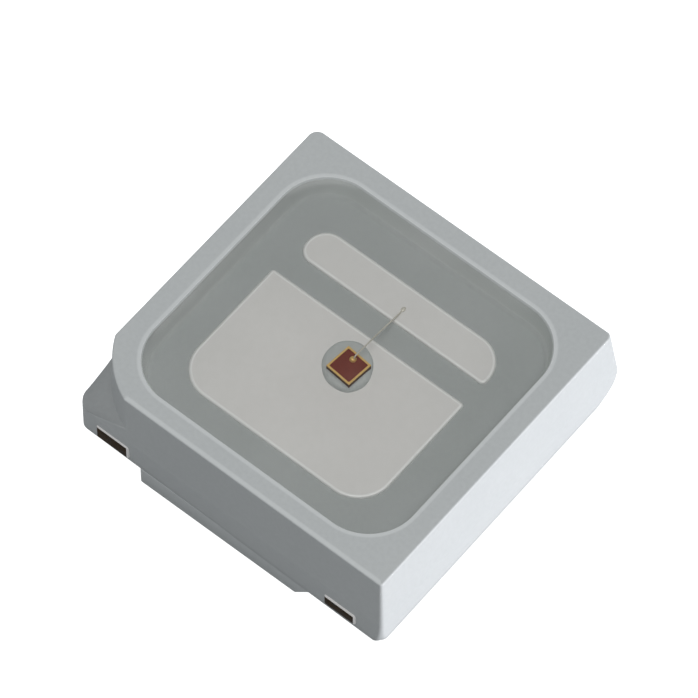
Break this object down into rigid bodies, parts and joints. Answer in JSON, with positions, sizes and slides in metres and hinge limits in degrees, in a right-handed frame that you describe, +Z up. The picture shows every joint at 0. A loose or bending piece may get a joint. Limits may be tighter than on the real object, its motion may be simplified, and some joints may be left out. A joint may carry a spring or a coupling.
{
  "type": "surface-mount light-emitting diode",
  "caption": "Flat square surface-mount LED: grey moulded housing with a marked corner, and a wire-bonded die on a silver pad under clear filling.",
  "frame": {"origin": "on the board plane, under the middle of the package's footprint", "axes": "+X along the housing's longer side, +Y from the large pad towards the bar pad, +Z up out of the light window; the marked corner is at -X, -Y"},
  "size_m": [0.0052, 0.005, 0.0018],
  "materials": {
    "housing": "fine moulded, light grey",
    "die_pad_lead": "silver-plated copper alloy, satin",
    "bar_lead": "silver-plated copper alloy, satin",
    "die_attach": "silver-filled adhesive, grey",
    "die": "polished semiconductor, dark red",
    "die_border": "gold contact metal",
    "bond_pad": "gold contact metal",
    "bond_wire": "gold wire",
    "encapsulant": "clear grey-tinted silicone, glossy"
  },
  "bodies": {
    "root": {"housing": "housing", "die_pad_lead": "die_pad_lead", "bar_lead": "bar_lead", "die_attach": "die_attach", "die": "die", "die_border": "die_border", "bond_pad": "bond_pad", "bond_wire": "bond_wire", "encapsulant": "encapsulant"}
  },
  "joints": []
}
